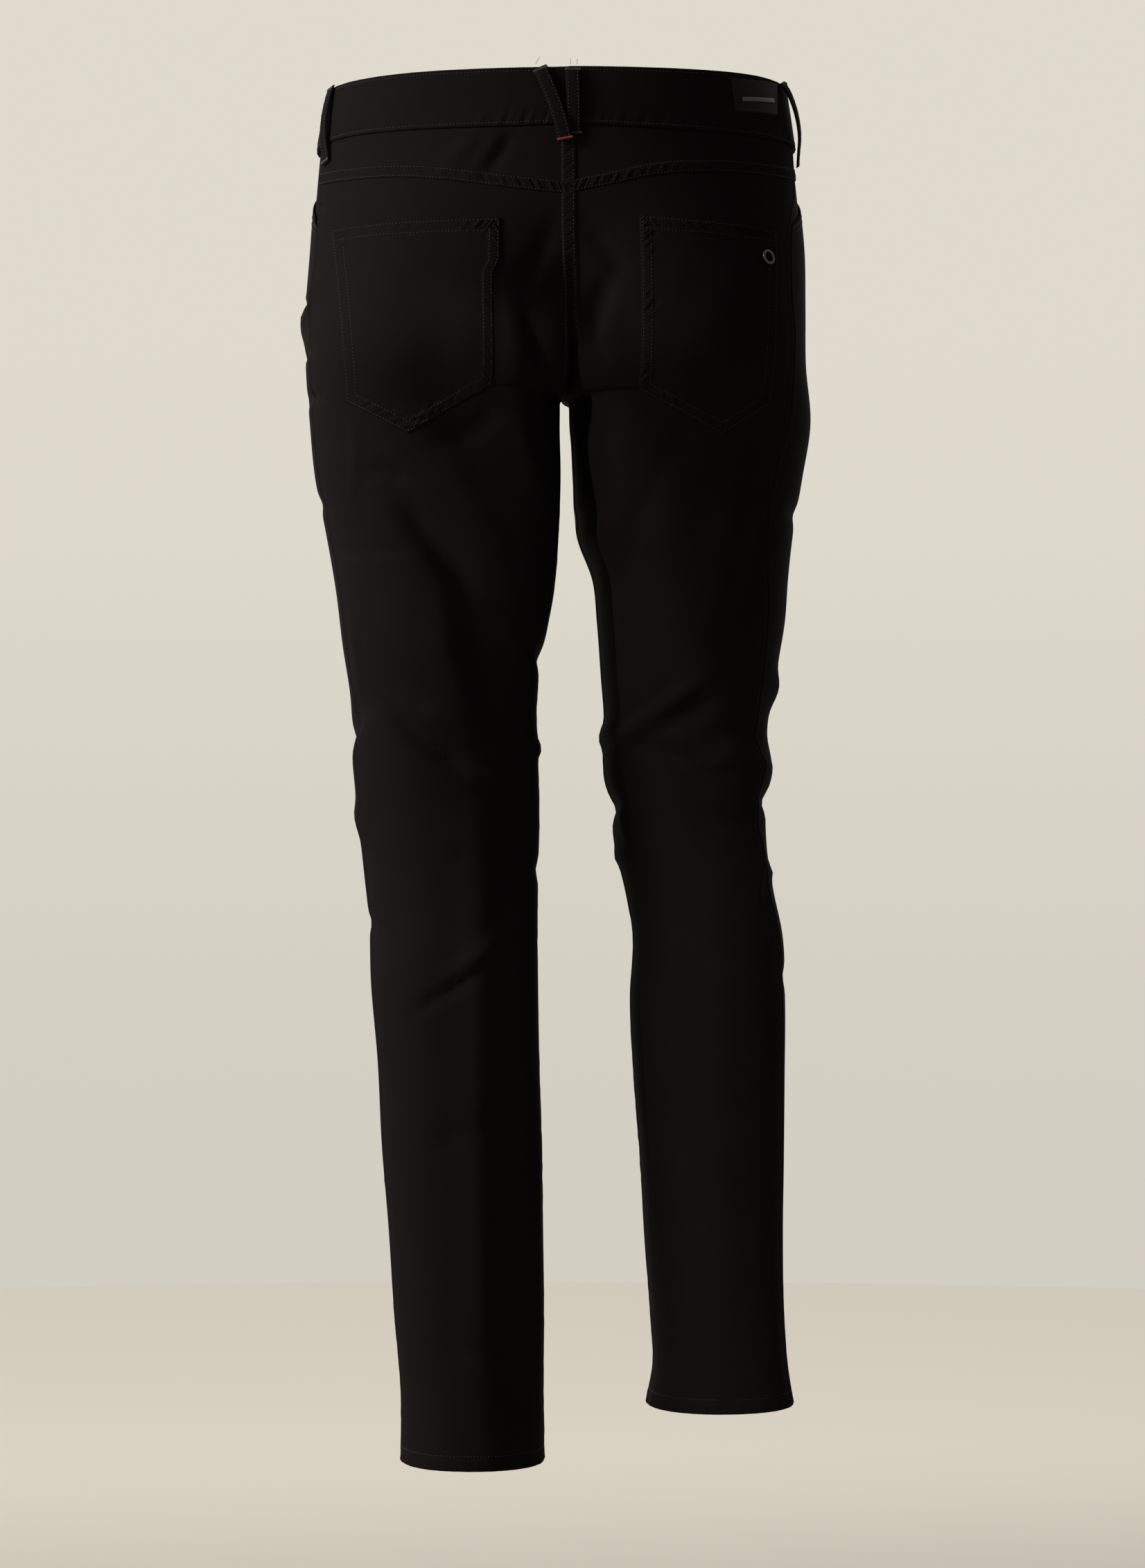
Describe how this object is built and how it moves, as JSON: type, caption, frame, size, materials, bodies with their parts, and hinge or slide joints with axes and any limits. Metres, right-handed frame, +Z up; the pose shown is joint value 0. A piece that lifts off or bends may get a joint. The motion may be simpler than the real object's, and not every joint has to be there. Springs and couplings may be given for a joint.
{
  "type": "slim trousers",
  "caption": "Black slim trousers as worn, an empty hollow garment with waistband, belt loops, pockets and two open legs, one stepping forward.",
  "frame": {"origin": "middle of the waist opening, level with the band's top edge at the centre back", "axes": "+Z up through the waist opening, -Y to the garment's front, +X to the wearer's left"},
  "size_m": [0.3716, 0.3156, 0.9926],
  "materials": {
    "twill": "matte",
    "patch_leather": "satin",
    "steel": "brushed",
    "dark_metal": "satin"
  },
  "bodies": {
    "root": {"front_left": "twill", "front_right": "twill", "back_left": "twill", "back_right": "twill", "back_yoke_left": "twill", "back_yoke_right": "twill", "pocket_facing_left": "twill", "pocket_facing_right": "twill", "back_pocket_left": "twill", "back_pocket_right": "twill", "waistband": "twill", "fly_placket": "twill", "zip_tape": "twill", "zip_slider": "dark_metal", "waist_button": "dark_metal", "belt_loop_back_under": "twill", "belt_loop_back_over": "twill", "belt_loop_left": "twill", "belt_loop_right": "twill", "belt_loop_front_left": "twill", "belt_loop_front_right": "twill", "label_patch": "patch_leather", "label_bar": "steel", "eyelet_ring": "steel"}
  },
  "joints": []
}
